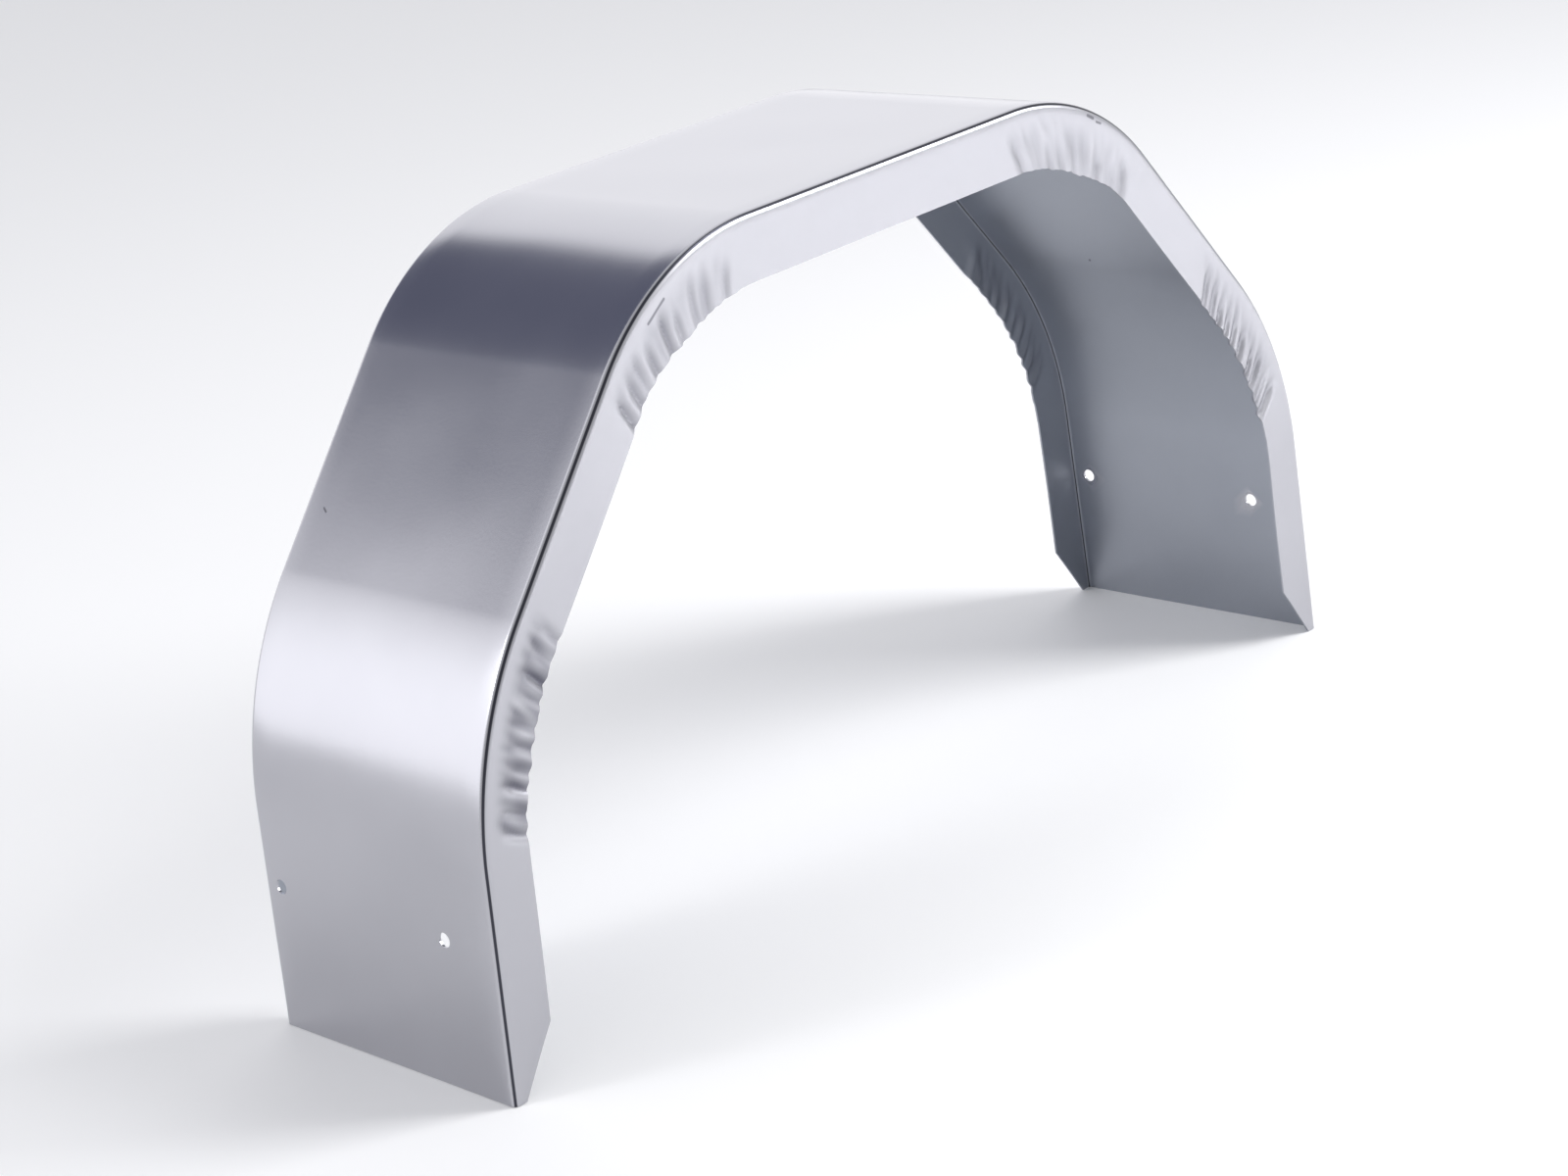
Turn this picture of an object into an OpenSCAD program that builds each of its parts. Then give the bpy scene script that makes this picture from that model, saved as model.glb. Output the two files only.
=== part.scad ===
// Trailer mudguard: one steel sheet, bent over the wheel in five flat panels and folded down at both edges.
// X runs along the trailer, Y across the wheel and Z up. The origin is level with the feet, at the middle.
// The lips are gathered into flutes at the four bends, where their free edge is shorter than the fold.
// The sheet is one sweep: stations follow the cover's outer line, and each holds a ring of the folded section.

/* [Sheet] */
// Width across the wheel, over both lips
cover_w = 200; // [170:5:240]
// Thickness of the steel sheet
sheet_t = 1.5; // [1.2:0.1:2]
// Outside radius of the fold between the cover and each lip
fold_r = 4; // [3:0.5:6]

/* [Arch] */
// Length of the level top, between the corners that its bends round off
top_len = 390; // [320:5:480]
// Length of each sloping side, between its corners
side_len = 290; // [240:5:350]
// Length of each leg, from its corner to its foot
leg_len = 212; // [175:1:260]
// Slope of the sides below level, in degrees
side_slope = 50.5; // [42:0.5:60]
// Outward lean of the legs, in degrees
leg_lean = 3; // [0:0.5:6]
// Outside radius of the two bends beside the top
top_bend_r = 162; // [130:1:195]
// Outside radius of the two bends above the legs
leg_bend_r = 225; // [185:1:270]

/* [Lips] */
// Depth of the lips along the top
top_lip = 40; // [32:1:50]
// Depth of the lips in the middle of the bends beside the top
top_bend_lip = 41; // [32:1:52]
// Depth of the lips along the sloping sides
side_lip = 35; // [28:1:44]
// Depth of the lips in the middle of the bends above the legs
leg_bend_lip = 35; // [28:1:44]
// Depth of the lips along the legs
leg_lip = 33; // [27:1:42]
// Height up the leg at which the cut across each lip's corner starts
corner_cut_h = 40; // [30:1:50]
// Depth of lip that the cut leaves at the foot
corner_cut_lip = 9; // [7:0.5:12]

/* [Flutes] */
// Number of flutes in each lip at each bend beside the top
top_flutes = 9; // [6:1:10]
// Number of flutes in each lip at each bend above the legs
leg_flutes = 10; // [7:1:11]
// Depth of a flute at the free edge
flute_depth = 3; // [2:0.1:4]
// Depth into the lip at which the flutes start, from the cover's outside
flute_start = 14; // [10:1:18]

/* [Bolt holes] */
// Diameter of the bolt holes
hole_d = 9; // [6:0.5:12]
// Distance between the two holes in a leg
hole_pitch = 142; // [110:1:150]
// Distance from the back edge of the cover to the first hole
hole_edge = 15; // [11:0.5:20]
// Height of the holes above the foot, along the leg
hole_h = 91; // [60:1:110]

/* [Hidden] */
steel = [0.72, 0.74, 0.77];
side_edge = cover_w / 2;
leg_heading = 90 - leg_lean;
arch_h = side_len * sin(side_slope) + leg_len * cos(leg_lean);
fold_steps = 3;
stations_per_flute = 4;
flute_growth = [0, 0.45, 1];

// Directions in the side view, as [x, z]: along a heading in degrees below level, and into the arch from it
function along(heading) = [cos(heading), -sin(heading)];
function inward(heading) = [-sin(heading), -cos(heading)];

// Corners of the cover's outer line on the right side, from the top to the foot
top_corner = [top_len / 2, arch_h];
leg_corner = top_corner + side_len * along(side_slope);
foot_corner = leg_corner + leg_len * along(leg_heading);

// Value that runs from a through b at the middle to c at the end, level at all three
function ease(u) = u * u * (3 - 2 * u);
function through(a, b, c, u) = u < 0.5 ? a + (b - a) * ease(2 * u) : b + (c - b) * ease(2 * u - 1);

// A station is [point on the outer line, direction of depth, depth of the lips, share of a flute's depth]
function bend_stations(corner, from, to, r, lips, flutes) =
    let (
        start = corner - along(from) * r * tan((to - from) / 2),
        centre = start + inward(from) * r,
        count = flutes * stations_per_flute
    )
    [for (i = [0:count]) let (u = i / count, heading = from + (to - from) * u)
        [centre - inward(heading) * r, inward(heading), through(lips[0], lips[1], lips[2], u),
            pow(sin(180 * flutes * u), 2)]];

right_stations = concat(
    bend_stations(top_corner, 0, side_slope, top_bend_r, [top_lip, top_bend_lip, side_lip], top_flutes),
    bend_stations(leg_corner, side_slope, leg_heading, leg_bend_r, [side_lip, leg_bend_lip, leg_lip], leg_flutes),
    [[foot_corner - along(leg_heading) * corner_cut_h, inward(leg_heading), leg_lip, 0]],
    [[foot_corner, [-1 / cos(leg_lean), 0], corner_cut_lip, 0]]);

function mirrored(station) =
    [[-station[0][0], station[0][1]], [-station[1][0], station[1][1]], station[2], station[3]];

stations = concat(
    [for (i = [len(right_stations) - 1:-1:0]) mirrored(right_stations[i])],
    right_stations);

// Depths of the rows of points on a lip, from the first flute row to the free edge
function lip_rows(lip) = let (first = min(flute_start, (fold_r + lip) / 2)) [first, (first + lip) / 2, lip];

// Half of a section line as [y, depth], from the free edge of the back lip to the cover, set in by an inset
function half_line(lip, flute, inset) = concat(
    [for (i = [2:-1:0]) [side_edge - inset - flute_depth * flute * flute_growth[i], lip_rows(lip)[i]]],
    [for (i = [0:fold_steps]) let (a = 90 * i / fold_steps, r = fold_r - inset)
        [side_edge - fold_r + r * cos(a), fold_r - r * sin(a)]]);

function backward(list) = [for (i = [len(list) - 1:-1:0]) list[i]];
function front(list) = [for (p = list) [-p[0], p[1]]];

// Closed ring of a section: over the outside from back to front, and back over the inside
function ring(lip, flute) =
    let (outside = half_line(lip, flute, 0), inside = half_line(lip, flute, sheet_t))
    concat(outside, backward(front(outside)), front(inside), backward(inside));

function placed(station) = [for (p = ring(station[2], station[3]))
    let (q = station[0] + station[1] * p[1]) [q[0], p[0], q[1]]];

module folded_sheet() {
    n = len(ring(top_lip, 0));
    last = (len(stations) - 1) * n;
    sides = [for (s = [0:len(stations) - 2], i = [0:n - 1]) let (j = (i + 1) % n, a = s * n, b = a + n)
        each [[a + i, b + i, b + j], [a + i, b + j, a + j]]];
    foot = [for (i = [0:n / 2 - 2]) each [[i, i + 1, n - 2 - i], [i, n - 2 - i, n - 1 - i]]];
    other_foot = [for (t = foot) [last + t[2], last + t[1], last + t[0]]];
    polyhedron(points = [for (s = stations) each placed(s)], faces = concat(sides, foot, other_foot));
}

// Bolt holes through both legs, square to the sheet
module bolt_holes() {
    middle = foot_corner - along(leg_heading) * hole_h;
    for (x = [0, 1], i = [0, 1])
        mirror([x, 0, 0]) translate([middle[0], side_edge - hole_edge - i * hole_pitch, middle[1]])
            rotate([0, leg_heading, 0]) cylinder(h = 6 * sheet_t, d = hole_d, center = true, $fn = 48);
}

module mudguard() {
    color(steel) difference() {
        folded_sheet();
        bolt_holes();
    }
}

mudguard();
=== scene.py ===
"""Folded galvanised trailer mudguard: the detailed sheet, its zinc finish, the studio and the camera."""
import math
import random

import bpy
import bmesh
import numpy as np
from mathutils import Matrix, Vector, noise


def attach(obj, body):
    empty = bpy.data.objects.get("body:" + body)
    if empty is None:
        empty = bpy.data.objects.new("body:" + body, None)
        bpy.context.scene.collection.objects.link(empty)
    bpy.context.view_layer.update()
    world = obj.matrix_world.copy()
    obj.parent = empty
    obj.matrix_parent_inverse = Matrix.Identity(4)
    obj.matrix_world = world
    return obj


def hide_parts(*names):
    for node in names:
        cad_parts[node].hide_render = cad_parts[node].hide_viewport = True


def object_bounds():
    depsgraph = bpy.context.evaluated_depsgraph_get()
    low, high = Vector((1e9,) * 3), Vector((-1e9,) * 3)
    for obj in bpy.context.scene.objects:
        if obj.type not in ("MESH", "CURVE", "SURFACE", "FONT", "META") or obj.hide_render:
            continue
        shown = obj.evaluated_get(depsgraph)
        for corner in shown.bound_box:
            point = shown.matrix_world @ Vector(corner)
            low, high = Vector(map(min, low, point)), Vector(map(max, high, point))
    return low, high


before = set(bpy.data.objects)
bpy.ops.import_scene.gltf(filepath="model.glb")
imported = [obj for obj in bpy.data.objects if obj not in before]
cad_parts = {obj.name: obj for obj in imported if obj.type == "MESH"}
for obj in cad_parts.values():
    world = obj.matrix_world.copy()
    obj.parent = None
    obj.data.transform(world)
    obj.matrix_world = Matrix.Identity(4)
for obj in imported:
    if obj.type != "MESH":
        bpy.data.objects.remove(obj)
CAD_LOW, CAD_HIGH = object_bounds()

# The sheet, in millimetres: the same sizes that the part is built from
MM = 0.001
COVER_W = (CAD_HIGH.y - CAD_LOW.y) / MM
ARCH_H = (CAD_HIGH.z - CAD_LOW.z) / MM
SHEET_T = 1.5
FOLD_R = 4.0
TOP_LEN = 390.0
SIDE_LEN = 290.0
LEG_LEN = 212.0
SIDE_SLOPE = math.radians(50.5)
LEG_LEAN = math.radians(3.0)
TOP_BEND_R = 162.0
LEG_BEND_R = 225.0
TOP_LIP = 40.0
TOP_BEND_LIP = 41.0
SIDE_LIP = 35.0
LEG_BEND_LIP = 35.0
LEG_LIP = 33.0
CORNER_CUT_H = 40.0
CORNER_CUT_LIP = 9.0
TOP_FLUTES = 9
LEG_FLUTES = 10
HOLES_PER_LEG = 2
HOLE_D = 9.0
HOLE_PITCH = 142.0
HOLE_EDGE = 15.0
HOLE_H = 91.0
CUTTER_LEN = 10 * SHEET_T

# How finely the sheet is modelled
STATIONS_PER_FLUTE = 12
STRAIGHT_STEP = 12.0
FOLD_STEPS = 6
LIP_ROWS = 12
COVER_COLUMNS = 14
HOLE_SIDES = 40
SHARP_ANGLE = math.radians(32)

# How a hand-worked crimping tool leaves the flutes: each bend has its own look, on both lips.
# depth is in millimetres, shift, lean and width are counted in flutes, and the rest are strengths: the first
# sets how unevenly deep the flutes are, and the last two set the painted shade in the flute hollows and in
# their crumples
FLUTE_LOOKS = {
    "leg_left": dict(depth=3.0, uneven=0.5, shift=-0.4, lean=0.6, width=0.54, mark=0.6, crumple_shade=0.8),
    "top_left": dict(depth=2.6, uneven=0.5, shift=1.9, lean=0.8, width=0.48, mark=0.9, crumple_shade=0.3),
    "top_right": dict(depth=1.6, uneven=0.5, shift=0.0, lean=1.0, width=0.62, mark=0.4, crumple_shade=0.2),
    "leg_right": dict(depth=3.0, uneven=0.25, shift=-2.4, lean=1.3, width=0.6, mark=0.25, crumple_shade=0.4),
}
# Depth at which the flutes start, how far they may run past a bend, and how finely that stretch is divided
CRIMP_START = 8.0
FLUTE_MARGIN = 36.0
FLUTE_MARGIN_STEP = 1.6
# How one flute differs from the next, and its profile down the lip and across
FLUTE_SHIFT = 0.2
FLUTE_WIDTHS = (0.75, 1.15)
FLUTE_REACH = 0.35
FLUTE_RISE = 0.45
FLUTE_FALL = 0.25
FLUTE_SHARPNESS = 1.3
# How sharply the painted shade in a flute gathers towards its deepest part
CRIMP_CONTRAST = 1.5
# Crumples in and between the flutes
CRUMPLE_DEPTH = 0.7
CRUMPLE_LEVEL = 0.45
CRUMPLE_SWING = 0.8
CRUMPLE_GROWTH = 3
CRUMPLES_PER_FLUTE = 2.3
CRUMPLE_ROWS = 1.4
CRUMPLE_SLICES = 10
# Slow waves of the free edges, of the lips and of the cover: heights, and runs along the sheet
EDGE_UNEVEN = 0.8
EDGE_RUNS = (9.5, 17.0, 31.0)
LIP_WAVE = 0.35
LIP_WAVE_RUN = 27.0
LIP_DRIFT_RUN = 71.0
LIP_DRIFT = 2
LIP_WAVE_EASE = 25.0
COVER_DISH = 0.35
DISH_RUN = 61.0
RIPPLE_RUN = 23.0
RIPPLE_SLANT = 40.0
SEED = 11

# The camera, as fitted to the photograph
CAMERA_AT = Vector((-1.395, -1.358, 0.861))
CAMERA_AZIMUTH = math.radians(43.2)
CAMERA_DOWN = math.radians(20.7)
CAMERA_ROLL = math.radians(8.2)
CAMERA_SENSOR = 36.0
CAMERA_LENS = 75.3
CAMERA_SHIFT = (0.0625, 0.0375)
CAMERA_REACH = 50

# The finish: linear colours, roughness, and the width in millimetres of the dark line along a fold, which is
# a painted dark reflection on the outside of the fold and painted shade in its inside crease.
# The roughness of the lips and that of the inner face are added to the cover's
ZINC_DARK = (0.445, 0.445, 0.48)
ZINC_PALE = (0.52, 0.52, 0.555)
# Colours of the inner face, darker than the outer ones: painted shade on the same zinc
INNER_SHADE_DARK = (0.33, 0.35, 0.395)
INNER_SHADE_PALE = (0.40, 0.42, 0.465)
# Painted shade in the hollows of the flutes and in their crumples
CRIMP_SHADE_COLOUR = (0.13, 0.13, 0.16)
COVER_ROUGHNESS = (0.16, 0.24)
LIP_ROUGHNESS = 0.10
INNER_ROUGHNESS = 0.20
# Painted dark reflection along the outside of each fold and painted shade in its inside crease
FOLD_PAINTED_SHADE_COLOUR = (0.055, 0.056, 0.07)
FOLD_LINE_W = 1.15
# Noise of the metal: mottling, streaks drawn out along the sheet, fine specks, and the bump of the last two
CLOUD = {"Scale": 9.0, "Detail": 5.0, "Roughness": 0.55}
GRAIN_STRETCH = (18.0, 900.0, 1.0)
GRAIN = {"Scale": 1.0, "Detail": 3.0, "Roughness": 0.5}
SPECK = {"Scale": 420.0, "Detail": 2.0, "Roughness": 0.5}
BUMP = {"Strength": 0.05, "Distance": 0.0002}
# Small marks of use, as strokes on the sheet: start, end and half width in millimetres
MARK_COLOUR = (0.10, 0.10, 0.12)
MARK_STRENGTH = 0.7
MARK_SOFTNESS = 3
MARKS = (
    ((-207.0, -100.0, 396.0), (-193.0, -100.0, 406.0), 1.3),
    ((188.0, -100.0, 415.0), (193.0, -100.0, 412.0), 1.5),
    ((196.0, -100.0, 409.0), (200.0, -100.0, 407.0), 1.1),
    ((-309.0, 80.0, 297.0), (-308.0, 83.0, 299.0), 1.0),
    ((308.0, 92.0, 254.0), (309.0, 93.0, 253.0), 1.4),
    ((324.5, 18.0, 275.5), (325.5, 19.0, 274.5), 1.2),
    ((280.0, 96.0, 311.0), (283.0, 96.0, 306.0), 2.4),
)

# The studio: a plain room, a paler half behind the object, and there a low glow and a soft dark patch.
# Places are an azimuth and an elevation, and spreads an outer and an inner radius, in degrees
ROOM_COLOUR = (0.56, 0.565, 0.58)
WALL_COLOUR = (1.25, 1.25, 1.28)
WALL_FADE_IN = (0.0, 0.40)
GLOW_COLOUR = (1.80, 1.80, 1.84)
GLOW_PLACE = (-45.0, 4.0)
GLOW_SPREAD = (29.0, 9.0)
DARK_COLOUR = (0.16, 0.17, 0.24)
DARK_PLACE = (-7.0, 49.0)
DARK_SPREAD = (28.0, 20.5)
# The floor: a wide disc, in metres
FLOOR_COLOUR = (0.93, 0.93, 0.935)
FLOOR_ROUGHNESS = 0.9
FLOOR_RADIUS = 7.0
FLOOR_SIDES = 96
FLOOR_GAP = 0.0005
# Lamps: the point lit, azimuth from +Y towards +X, elevation, distance, size in metres, power in watts
MIDDLE = Vector((0.0, 0.0, 0.22))
FLOOR_BEHIND = Vector((-3.2, 3.0, 0.0))
LAMPS = {
    "key_lamp": (MIDDLE, 137.0, 22.0, 2.6, 1.0, 34.0),
    "high_lamp": (MIDDLE, 140.0, 50.0, 2.6, 0.9, 22.0),
    "floor_lamp": (FLOOR_BEHIND, -100.0, 60.0, 3.6, 1.4, 80.0),
}


def along(heading):
    """Direction in the side view, as (x, z), for a heading below level."""
    return np.array([math.cos(heading), -math.sin(heading)])


def inward(heading):
    """Direction from the cover into the arch, as (x, z)."""
    return np.array([-math.sin(heading), -math.cos(heading)])


def ease(u):
    """Runs from 0 to 1 with level ends."""
    return u * u * (3 - 2 * u)


def through(values, u):
    """Runs through three values, level at each."""
    a, b, c = values
    return a + (b - a) * ease(2 * u) if u < 0.5 else b + (c - b) * ease(2 * u - 1)


class Station:
    """A place along the sheet: a point on the outer line, the depth direction and the lips there."""

    def __init__(self, point, depth, lip, bend=None, share=0.0):
        self.point = np.array(point)
        self.depth = np.array(depth)
        self.lip = lip
        self.bend = bend
        self.share = share
        self.bend_length = 1.0
        self.run = 0.0


def bend_stations(name, corner, start_heading, end_heading, radius, lips, flutes):
    """Stations round one bend."""
    start = corner - along(start_heading) * radius * math.tan((end_heading - start_heading) / 2)
    centre = start + inward(start_heading) * radius
    count = flutes * STATIONS_PER_FLUTE
    made = []
    for i in range(count + 1):
        share = i / count
        heading = start_heading + (end_heading - start_heading) * share
        point = centre - inward(heading) * radius
        made.append(Station(point, inward(heading), through(lips, share), name, share))
        made[-1].bend_length = (radius - lips[1]) * (end_heading - start_heading)
    return made


def between(a, b, share):
    """The station at a share of the straight stretch between two stations."""
    return Station(a.point + (b.point - a.point) * share, a.depth + (b.depth - a.depth) * share,
                   a.lip + (b.lip - a.lip) * share)


def straight_between(a, b):
    """Stations that divide the straight stretch between two stations, closer together beside a bend."""
    length = float(np.linalg.norm(b.point - a.point))
    near_a = FLUTE_MARGIN if a.bend else 0.0
    near_b = length - FLUTE_MARGIN if b.bend else length
    marks = [i * FLUTE_MARGIN_STEP for i in range(1, int(near_a / FLUTE_MARGIN_STEP) + 1)]
    steps = max(1, round((near_b - near_a) / STRAIGHT_STEP))
    marks += [near_a + (near_b - near_a) * i / steps for i in range(0 if a.bend else 1, steps)]
    marks += [near_b + i * FLUTE_MARGIN_STEP for i in range(int((length - near_b) / FLUTE_MARGIN_STEP))]
    made = []
    for mark in marks:
        station = between(a, b, mark / length)
        if a.bend and mark < near_a + FLUTE_MARGIN_STEP / 2:
            station.bend, station.share = a.bend, 1 + mark / a.bend_length
        if b.bend and mark > near_b - FLUTE_MARGIN_STEP / 2:
            station.bend, station.share = b.bend, (mark - length) / b.bend_length
        made.append(station)
    return made


def mirrored(station):
    """The same station on the other half of the arch."""
    flip = np.array([-1.0, 1.0])
    name = station.bend and station.bend.replace("right", "left")
    made = Station(station.point * flip, station.depth * flip, station.lip, name, station.share)
    made.bend_length = station.bend_length
    return made


def all_stations():
    """Every station from the left foot to the right one, with its distance along the sheet."""
    leg_heading = math.pi / 2 - LEG_LEAN
    top_corner = np.array([TOP_LEN / 2, ARCH_H])
    leg_corner = top_corner + SIDE_LEN * along(SIDE_SLOPE)
    foot_corner = leg_corner + LEG_LEN * along(leg_heading)
    top_bend = bend_stations("top_right", top_corner, 0, SIDE_SLOPE, TOP_BEND_R,
                             (TOP_LIP, TOP_BEND_LIP, SIDE_LIP), TOP_FLUTES)
    leg_bend = bend_stations("leg_right", leg_corner, SIDE_SLOPE, leg_heading, LEG_BEND_R,
                             (SIDE_LIP, LEG_BEND_LIP, LEG_LIP), LEG_FLUTES)
    cut = Station(foot_corner - along(leg_heading) * CORNER_CUT_H, inward(leg_heading), LEG_LIP)
    foot = Station(foot_corner, (-1 / math.cos(LEG_LEAN), 0), CORNER_CUT_LIP)
    middle = Station((0, ARCH_H), (0, -1), TOP_LIP)
    right = [middle, *straight_between(middle, top_bend[0]), *top_bend,
             *straight_between(top_bend[-1], leg_bend[0]), *leg_bend,
             *straight_between(leg_bend[-1], cut), cut, *straight_between(cut, foot), foot]
    stations = [mirrored(s) for s in reversed(right[1:])] + right
    for before, after in zip(stations, stations[1:]):
        after.run = before.run + float(np.linalg.norm(after.point - before.point))
    return stations


class Flutes:
    """The flutes of one lip at one bend, each with its own place, strength, width and reach."""

    def __init__(self, count, look, rng):
        self.count = count
        self.look = look
        self.places = [i + 0.5 + rng.uniform(-FLUTE_SHIFT, FLUTE_SHIFT) for i in range(count)]
        self.strengths = [1 - rng.uniform(0, look["uneven"]) for _ in range(count)]
        self.widths = [look["width"] * rng.uniform(*FLUTE_WIDTHS) for _ in range(count)]
        self.reaches = [rng.uniform(0.0, FLUTE_REACH) for _ in range(count)]

    def place(self, share, grown):
        """Which flute a point is on; grown runs from 0 where the flutes start to 1 at the free edge."""
        return share * self.count - self.look["shift"] + self.look["lean"] * (1 - grown)

    def crumple(self, share, grown):
        """Small crumples drawn out along the flutes, from 0 to about 1."""
        place = self.place(share, grown)
        inside = ease(max(0.0, min(1.0, place, self.count - place)))
        spot_at = Vector((place * CRUMPLES_PER_FLUTE, grown * CRUMPLE_ROWS, self.places[0] * CRUMPLE_SLICES))
        rough = max(0.0, CRUMPLE_LEVEL + CRUMPLE_SWING * noise.noise(spot_at))
        return rough * inside * min(1.0, CRUMPLE_GROWTH * grown)

    def depth(self, share, grown):
        """How far the lip is pressed in at a share of the bend."""
        place = self.place(share, grown)
        total = 0.0
        for centre, strength, width, reach in zip(self.places, self.strengths, self.widths, self.reaches):
            gap = abs(place - centre) / width
            if gap < 1 and grown > reach:
                rise = ease(min(1.0, (grown - reach) / FLUTE_RISE)) * (1 - FLUTE_FALL * grown)
                total += strength * rise * (1 - gap) ** FLUTE_SHARPNESS
        return self.look["depth"] * total


def lip_depths(lip):
    """Depths of the rows of a lip, from the free edge up to the fold."""
    return [FOLD_R + (lip - FOLD_R) * (LIP_ROWS - k) / LIP_ROWS for k in range(LIP_ROWS)]


def half_line(station, flutes, edge_shift, inset):
    """Half of a section as (y, depth, strength of the painted shade in the flutes), from a lip's free edge
    to the middle of the cover.
    """
    side = COVER_W / 2
    points = []
    for depth in lip_depths(station.lip + edge_shift):
        grown = min(1.0, (depth - CRIMP_START) / (station.lip - CRIMP_START))
        pressed = lip_wave(station, depth)
        mark = 0.0
        if flutes and grown > 0:
            crimp = flutes.depth(station.share, grown)
            crumple = flutes.crumple(station.share, grown)
            # Painted shade: darker where the flute is pressed in deeper, and in the crumples
            mark = flutes.look["mark"] * min(1.0, crimp / flutes.look["depth"]) ** CRIMP_CONTRAST
            mark = min(1.0, mark + flutes.look["crumple_shade"] * crumple)
            pressed += crimp + CRUMPLE_DEPTH * crumple
        points.append((side - inset - pressed, depth, mark))
    radius = FOLD_R - inset
    for i in range(FOLD_STEPS + 1):
        turn = math.pi / 2 * i / FOLD_STEPS
        points.append((side - FOLD_R + radius * math.cos(turn), FOLD_R - radius * math.sin(turn), 0.0))
    columns = COVER_COLUMNS // 2
    for i in range(1, columns + 1):
        points.append(((side - FOLD_R) * (1 - i / columns), inset, 0.0))
    return points


def lip_wave(station, depth):
    """Long shallow waves of a lip, none at its fold."""
    drift = math.sin(station.run / LIP_DRIFT_RUN) * LIP_DRIFT
    swing = 0.5 + 0.5 * math.sin(station.run / LIP_WAVE_RUN + drift)
    return LIP_WAVE * swing * ease(min(1.0, max(0.0, depth - FOLD_R) / LIP_WAVE_EASE))


def dish(station, y):
    """Slight wavy hollow of the cover between its folds, deepest along its middle."""
    across = max(0.0, 1 - (y / (COVER_W / 2 - FOLD_R)) ** 2)
    ripple = math.sin(station.run / RIPPLE_RUN + y / RIPPLE_SLANT)
    return COVER_DISH * across * (0.5 + 0.5 * math.sin(station.run / DISH_RUN) * ripple)


def ring(station, lips):
    """Closed ring of points round the section: the outside from back to front, then the inside."""
    lines = []
    for inset in (0.0, SHEET_T):
        back = half_line(station, *lips["back"], inset)
        front = [(-y, depth, mark) for y, depth, mark in half_line(station, *lips["front"], inset)]
        lines.append(back + front[-2::-1])
    outside, inside = lines
    points = []
    marks = []
    for y, depth, mark in outside + inside[::-1]:
        depth += dish(station, y) if abs(y) < COVER_W / 2 - FOLD_R else 0.0
        x, z = station.point + station.depth * depth
        points.append((x * MM, y * MM, z * MM))
        marks.append(mark)
    return points, marks


def edge_unevenness(rng):
    """A smooth uneven line for a free edge, as a function of the distance along the sheet."""
    phases = [rng.uniform(0, 2 * math.pi) for _ in EDGE_RUNS]
    waves = tuple(zip(EDGE_RUNS, phases))
    return lambda run: sum(math.sin(2 * math.pi * run / wave + phase) for wave, phase in waves) / len(waves)


def sheet_faces(rings, size):
    """The faces between neighbouring rings, and those that close the sheet at its two feet."""
    faces = []
    for a, b in zip(rings, rings[1:]):
        for i in range(size):
            j = (i + 1) % size
            faces.append((a + i, a + j, b + j, b + i))
    for start, turned in ((rings[0], True), (rings[-1], False)):
        for i in range(size // 2 - 1):
            quad = (start + i, start + i + 1, start + size - 2 - i, start + size - 1 - i)
            faces.append(quad[::-1] if turned else quad)
    return faces


def sheet_mesh():
    """The whole folded sheet as one closed mesh, with a flat map of the metal as its UVs."""
    rng = random.Random(SEED)
    stations = all_stations()
    flutes, edges = {}, {}
    for lip in ("front", "back"):
        edges[lip] = edge_unevenness(rng)
        for bend, count in (("leg_left", LEG_FLUTES), ("top_left", TOP_FLUTES),
                            ("top_right", TOP_FLUTES), ("leg_right", LEG_FLUTES)):
            flutes[lip, bend] = Flutes(count, FLUTE_LOOKS[bend], rng)
    points, marks, rings = [], [], []
    for station in stations:
        lips = {}
        for lip in ("front", "back"):
            rough = EDGE_UNEVEN if station.bend else 0.0
            swell = max(0.0, math.sin(math.pi * station.share)) if 0 < station.share < 1 else 0.0
            lips[lip] = (flutes.get((lip, station.bend)), rough * swell * edges[lip](station.run))
        made, made_marks = ring(station, lips)
        rings.append(len(points))
        points += made
        marks += made_marks
    size = len(made)
    mesh = bpy.data.meshes.new("folded_sheet")
    mesh.from_pydata(points, [], sheet_faces(rings, size))
    flat_map(mesh, stations, size)
    inner = [float(i % size >= size // 2) for i in range(len(points))]
    # The mask of the inner face, and the strength of the painted shade in the flutes
    for name, values in (("inner_face", inner), ("crimp_painted_shade", marks)):
        mesh.attributes.new(name, "FLOAT", "POINT").data.foreach_set("value", values)
    mesh.validate()
    return mesh


def flat_map(mesh, stations, size):
    """Gives each point its place on the flat sheet: distance along it, and across it from its middle."""
    layer = mesh.uv_layers.new(name="flat_sheet")
    along_at = np.repeat([s.run * MM for s in stations], size)
    half = size // 2
    xyz = np.empty(len(mesh.vertices) * 3)
    mesh.vertices.foreach_get("co", xyz)
    xyz = xyz.reshape(len(stations), size, 3)
    steps = np.linalg.norm(np.diff(xyz[:, :half], axis=1), axis=2)
    outside = np.concatenate([np.zeros((len(stations), 1)), np.cumsum(steps, axis=1)], axis=1)
    middle = half // 2
    outside -= outside[:, middle:middle + 1]
    across_at = np.concatenate([outside, outside[:, ::-1]], axis=1).ravel()
    loops = np.empty(len(mesh.loops), dtype=np.int64)
    mesh.loops.foreach_get("vertex_index", loops)
    layer.data.foreach_set("uv", np.stack([along_at[loops], across_at[loops]], axis=1).ravel())


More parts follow.
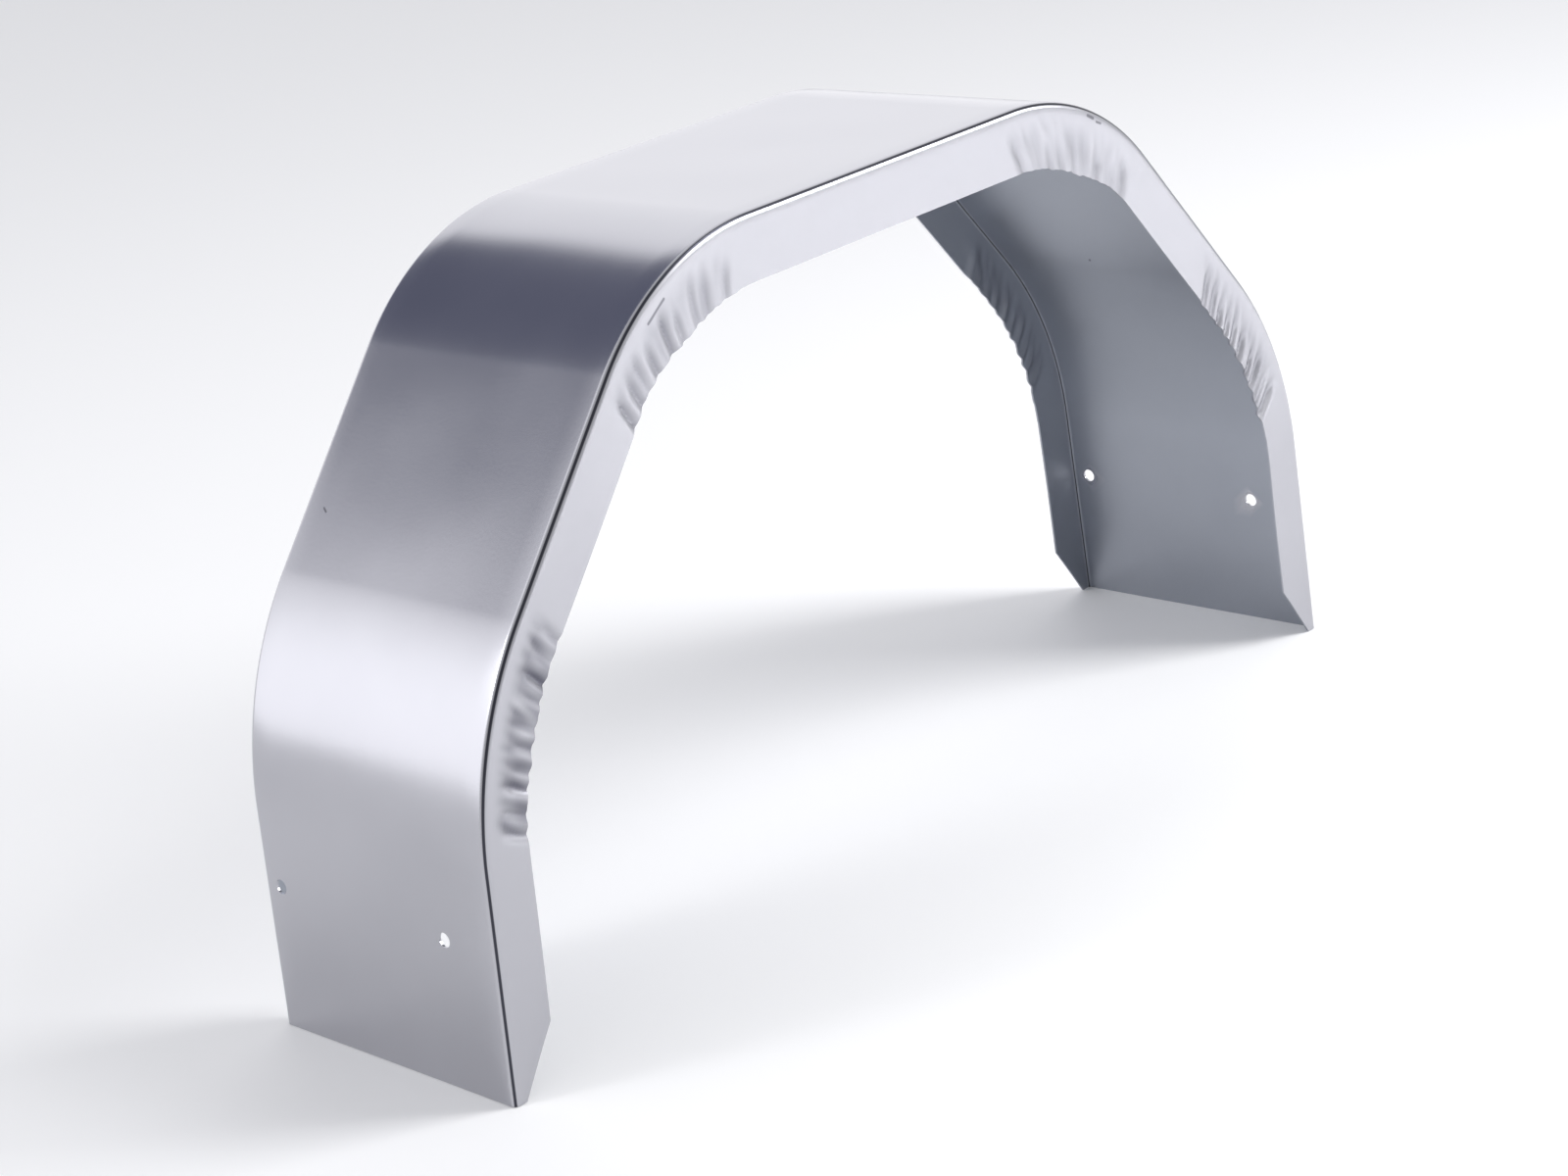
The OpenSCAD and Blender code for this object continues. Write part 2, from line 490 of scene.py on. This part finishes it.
def drill(obj):
    """Cuts the four bolt holes square through the legs."""
    leg_heading = math.pi / 2 - LEG_LEAN
    foot = np.array([CAD_HIGH.x / MM, 0.0])
    x, z = foot - along(leg_heading) * HOLE_H
    for side in (-1, 1):
        for number in range(HOLES_PER_LEG):
            y = COVER_W / 2 - HOLE_EDGE - number * HOLE_PITCH
            bpy.ops.mesh.primitive_cylinder_add(vertices=HOLE_SIDES, radius=HOLE_D / 2 * MM,
                                                depth=CUTTER_LEN * MM,
                                                location=(side * x * MM, y * MM, z * MM),
                                                rotation=(0, side * leg_heading, 0))
            cutter = bpy.context.object
            cut = obj.modifiers.new("hole", "BOOLEAN")
            cut.object = cutter
            cut.operation = "DIFFERENCE"
            cut.solver = "EXACT"
            bpy.context.view_layer.objects.active = obj
            bpy.ops.object.modifier_apply(modifier=cut.name)
            bpy.data.objects.remove(cutter, do_unlink=True)


def build_sheet():
    """The detailed mudguard, standing for the CAD node."""
    mesh = sheet_mesh()
    obj = bpy.data.objects.new("mudguard_sheet", mesh)
    bpy.context.scene.collection.objects.link(obj)
    drill(obj)
    smooth_by_angle(obj.data, SHARP_ANGLE)
    obj.data.materials.clear()
    obj.data.materials.append(zinc_material())
    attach(obj, "root")
    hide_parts("mudguard")


def smooth_by_angle(mesh, angle):
    """Smooth shading, with sharp edges wherever faces meet at more than an angle."""
    work = bmesh.new()
    work.from_mesh(mesh)
    bmesh.ops.recalc_face_normals(work, faces=work.faces)
    for face in work.faces:
        face.smooth = True
    for edge in work.edges:
        edge.smooth = len(edge.link_faces) == 2 and edge.calc_face_angle(0) < angle
    work.to_mesh(mesh)
    work.free()


class Nodes:
    """Short way of making and joining shader nodes."""

    # Numbers of a mix node's two colour inputs and of its colour output
    MIX_LOW, MIX_HIGH, MIX_RESULT = 6, 7, 2

    def __init__(self, tree):
        self.tree = tree
        tree.nodes.clear()

    def add(self, kind, settings=None, **inputs):
        """A new node, with its inputs set or linked by name, or by number as i0, i1 and so on."""
        node = self.tree.nodes.new(kind)
        for name, value in (settings or {}).items():
            setattr(node, name, value)
        for name, value in inputs.items():
            numbered = name[0] == "i" and name[1:].isdigit()
            socket = node.inputs[int(name[1:])] if numbered else node.inputs[name]
            if isinstance(value, bpy.types.NodeSocket):
                self.tree.links.new(value, socket)
            else:
                socket.default_value = value
        return node

    def smooth(self, value, zero_at, one_at):
        """A soft step of a value, from 0 at one limit to 1 at the other, in either order."""
        node = self.add("ShaderNodeMapRange", {"interpolation_type": "SMOOTHSTEP"}, Value=value)
        rising = zero_at < one_at
        node.inputs["From Min"].default_value = min(zero_at, one_at)
        node.inputs["From Max"].default_value = max(zero_at, one_at)
        node.inputs["To Min"].default_value = 0.0 if rising else 1.0
        node.inputs["To Max"].default_value = 1.0 if rising else 0.0
        return node.outputs["Result"]

    def mix(self, low, high, factor):
        """The colour between two colours or colour sockets."""
        node = self.add("ShaderNodeMix", {"data_type": "RGBA"}, Factor=factor)
        for number, colour in ((self.MIX_LOW, low), (self.MIX_HIGH, high)):
            if isinstance(colour, bpy.types.NodeSocket):
                self.tree.links.new(colour, node.inputs[number])
            else:
                node.inputs[number].default_value = (*colour, 1)
        return node.outputs[self.MIX_RESULT]


def fold_distance(n, across):
    """How far a place lies past the middle of the nearer fold, towards the lip's free edge."""
    fold_middle = (COVER_W / 2 - FOLD_R + FOLD_R * math.pi / 4) * MM
    size = n.add("ShaderNodeMath", {"operation": "ABSOLUTE"}, i0=across)
    return n.add("ShaderNodeMath", {"operation": "SUBTRACT"}, i0=size.outputs[0], i1=fold_middle).outputs[0]


def painted_fold_shade(n, past_fold):
    """Strength of the painted dark reflection and painted shade along the middle of either fold: 1 there and
    0 beside it.
    """
    away = n.add("ShaderNodeMath", {"operation": "ABSOLUTE"}, i0=past_fold)
    return n.smooth(away.outputs[0], FOLD_LINE_W * MM, FOLD_LINE_W / 2 * MM)


def stroke_shade(n, place, start, end, half_width):
    """1 along a short stroke and 0 beside it."""
    start, end = Vector(start) * MM, Vector(end) * MM
    way = end - start
    per_length = way / way.length_squared
    past = n.add("ShaderNodeVectorMath", {"operation": "SUBTRACT"}, i0=place, i1=start).outputs["Vector"]
    share = n.add("ShaderNodeVectorMath", {"operation": "DOT_PRODUCT"}, i0=past, i1=per_length)
    share = n.add("ShaderNodeClamp", Value=share.outputs["Value"])
    nearest = n.add("ShaderNodeVectorMath", {"operation": "SCALE"}, i0=way, Scale=share.outputs["Result"])
    away = n.add("ShaderNodeVectorMath", {"operation": "DISTANCE"}, i0=past, i1=nearest.outputs["Vector"])
    return n.smooth(away.outputs["Value"], half_width * MM, half_width * MM / MARK_SOFTNESS)


def all_marks(n, place):
    """The strength of the small marks of use at a place."""
    total = 0.0
    for start, end, half_width in MARKS:
        shade = stroke_shade(n, place, start, end, half_width)
        total = n.add("ShaderNodeMath", {"operation": "MULTIPLY_ADD"}, i0=shade, i1=MARK_STRENGTH, i2=total)
        total = total.outputs[0]
    return total


def zinc_roughness(n, cloud, past_fold, inside):
    """The roughness of the metal: glossy on the cover, duller on the worked lips and dullest inside."""
    rough = n.add("ShaderNodeMapRange", Value=cloud)
    rough.inputs["To Min"].default_value, rough.inputs["To Max"].default_value = COVER_ROUGHNESS
    on_lip = n.smooth(past_fold, -FOLD_R * MM, 0.0)
    rough = n.add("ShaderNodeMath", {"operation": "MULTIPLY_ADD"}, i0=on_lip, i1=LIP_ROUGHNESS,
                  i2=rough.outputs["Result"])
    rough = n.add("ShaderNodeMath", {"operation": "MULTIPLY_ADD"}, i0=inside, i1=INNER_ROUGHNESS,
                  i2=rough.outputs[0])
    return rough.outputs[0]


def zinc_material():
    """Smooth satin zinc: grey metal with faint mottling, rolling streaks and a fine bump, with painted shade
    on the inner face, in the flutes and in the folds, and a painted dark reflection along the outside of
    each fold.
    """
    material = bpy.data.materials.new("galvanised_steel")
    material.use_nodes = True
    n = Nodes(material.node_tree)
    place = n.add("ShaderNodeTexCoord")
    sheet = n.add("ShaderNodeUVMap", {"uv_map": "flat_sheet"})
    split = n.add("ShaderNodeSeparateXYZ", Vector=sheet.outputs["UV"])
    cloud = n.add("ShaderNodeTexNoise", Vector=place.outputs["Object"], **CLOUD)
    grain_place = n.add("ShaderNodeMapping", Vector=sheet.outputs["UV"], Scale=GRAIN_STRETCH)
    grain = n.add("ShaderNodeTexNoise", Vector=grain_place.outputs["Vector"], **GRAIN)
    speck = n.add("ShaderNodeTexNoise", Vector=place.outputs["Object"], **SPECK)
    inside = n.add("ShaderNodeAttribute", {"attribute_name": "inner_face"})
    outer_zinc = n.mix(ZINC_DARK, ZINC_PALE, cloud.outputs["Fac"])
    # The darker colours of the inner face are painted shade
    inner_zinc_shaded = n.mix(INNER_SHADE_DARK, INNER_SHADE_PALE, cloud.outputs["Fac"])
    zinc = n.mix(outer_zinc, inner_zinc_shaded, inside.outputs["Fac"])
    # Painted shade in the flute hollows and crumples
    crimp = n.add("ShaderNodeAttribute", {"attribute_name": "crimp_painted_shade"})
    tint = n.mix(zinc, CRIMP_SHADE_COLOUR, crimp.outputs["Fac"])
    past_fold = fold_distance(n, split.outputs["Y"])
    # Painted dark reflection along the outer fold and painted shade in the inner crease
    tint = n.mix(tint, FOLD_PAINTED_SHADE_COLOUR, painted_fold_shade(n, past_fold))
    tint = n.mix(tint, MARK_COLOUR, all_marks(n, place.outputs["Object"]))
    rough = zinc_roughness(n, cloud.outputs["Fac"], past_fold, inside.outputs["Fac"])
    height = n.add("ShaderNodeMath", {"operation": "ADD"}, i0=grain.outputs["Fac"], i1=speck.outputs["Fac"])
    bump = n.add("ShaderNodeBump", Height=height.outputs["Value"], **BUMP)
    shader = n.add("ShaderNodeBsdfPrincipled", Metallic=1.0, Roughness=rough, Normal=bump.outputs["Normal"])
    n.tree.links.new(tint, shader.inputs["Base Color"])
    n.add("ShaderNodeOutputMaterial", Surface=shader.outputs["BSDF"])
    return material


def build_floor():
    """A plain pale floor, just under the feet."""
    bpy.ops.mesh.primitive_circle_add(vertices=FLOOR_SIDES, radius=FLOOR_RADIUS, fill_type="NGON",
                                      location=(0, 0, CAD_LOW.z - FLOOR_GAP))
    floor = bpy.context.object
    floor.name = "floor"
    material = bpy.data.materials.new("pale_floor")
    material.use_nodes = True
    shader = material.node_tree.nodes["Principled BSDF"]
    shader.inputs["Base Color"].default_value = (*FLOOR_COLOUR, 1)
    shader.inputs["Roughness"].default_value = FLOOR_ROUGHNESS
    floor.data.materials.append(material)


def way_to(azimuth, elevation):
    """Unit vector for an azimuth from +Y towards +X and an elevation, in degrees."""
    turn, lift = math.radians(azimuth), math.radians(elevation)
    return Vector((math.sin(turn) * math.cos(lift), math.cos(turn) * math.cos(lift), math.sin(lift)))


def build_world():
    """The room as seen in the metal: pale, with a low glow and a soft dark patch behind the object."""
    world = bpy.data.worlds.new("studio")
    bpy.context.scene.world = world
    world.use_nodes = True
    n = Nodes(world.node_tree)
    way = n.add("ShaderNodeTexCoord").outputs["Generated"]
    split = n.add("ShaderNodeSeparateXYZ", Vector=way)
    tone = n.mix(ROOM_COLOUR, WALL_COLOUR, n.smooth(split.outputs["Y"], *WALL_FADE_IN))
    tone = n.mix(tone, GLOW_COLOUR, spot(n, way, GLOW_PLACE, GLOW_SPREAD))
    tone = n.mix(tone, DARK_COLOUR, spot(n, way, DARK_PLACE, DARK_SPREAD))
    back = n.add("ShaderNodeBackground", Color=tone, Strength=1.0)
    n.add("ShaderNodeOutputWorld", Surface=back.outputs["Background"])


def spot(n, way, place, spread):
    """1 inside a round patch of the world's sky and 0 outside it, with a soft rim."""
    toward = n.add("ShaderNodeVectorMath", {"operation": "DOT_PRODUCT"}, i0=way, i1=way_to(*place))
    outer, inner = (math.cos(math.radians(angle)) for angle in spread)
    return n.smooth(toward.outputs["Value"], outer, inner)


def build_lamp(name, target, azimuth, elevation, distance, size, power):
    """A square soft lamp that points at a target."""
    way = way_to(azimuth, elevation)
    data = bpy.data.lights.new(name, "AREA")
    data.size = size
    data.energy = power
    lamp = bpy.data.objects.new(name, data)
    lamp.location = target + way * distance
    lamp.rotation_euler = way.to_track_quat("Z", "Y").to_euler()
    bpy.context.scene.collection.objects.link(lamp)


def build_camera():
    """The camera at the photograph's place, with its roll and its small shift."""
    data = bpy.data.cameras.new("photo_camera")
    data.sensor_width = CAMERA_SENSOR
    data.lens = CAMERA_LENS
    data.shift_x, data.shift_y = CAMERA_SHIFT
    data.clip_end = CAMERA_REACH
    camera = bpy.data.objects.new("photo_camera", data)
    level = Matrix.Rotation(-CAMERA_AZIMUTH, 4, "Z") @ Matrix.Rotation(math.pi / 2 - CAMERA_DOWN, 4, "X")
    camera.matrix_world = Matrix.Translation(CAMERA_AT) @ level @ Matrix.Rotation(-CAMERA_ROLL, 4, "Z")
    bpy.context.scene.collection.objects.link(camera)
    bpy.context.scene.camera = camera


def build_studio():
    """Floor, world, lamps and camera."""
    build_floor()
    build_world()
    for name, settings in LAMPS.items():
        build_lamp(name, *settings)
    build_camera()
    bpy.context.scene.view_settings.view_transform = "Standard"


build_sheet()
build_studio()
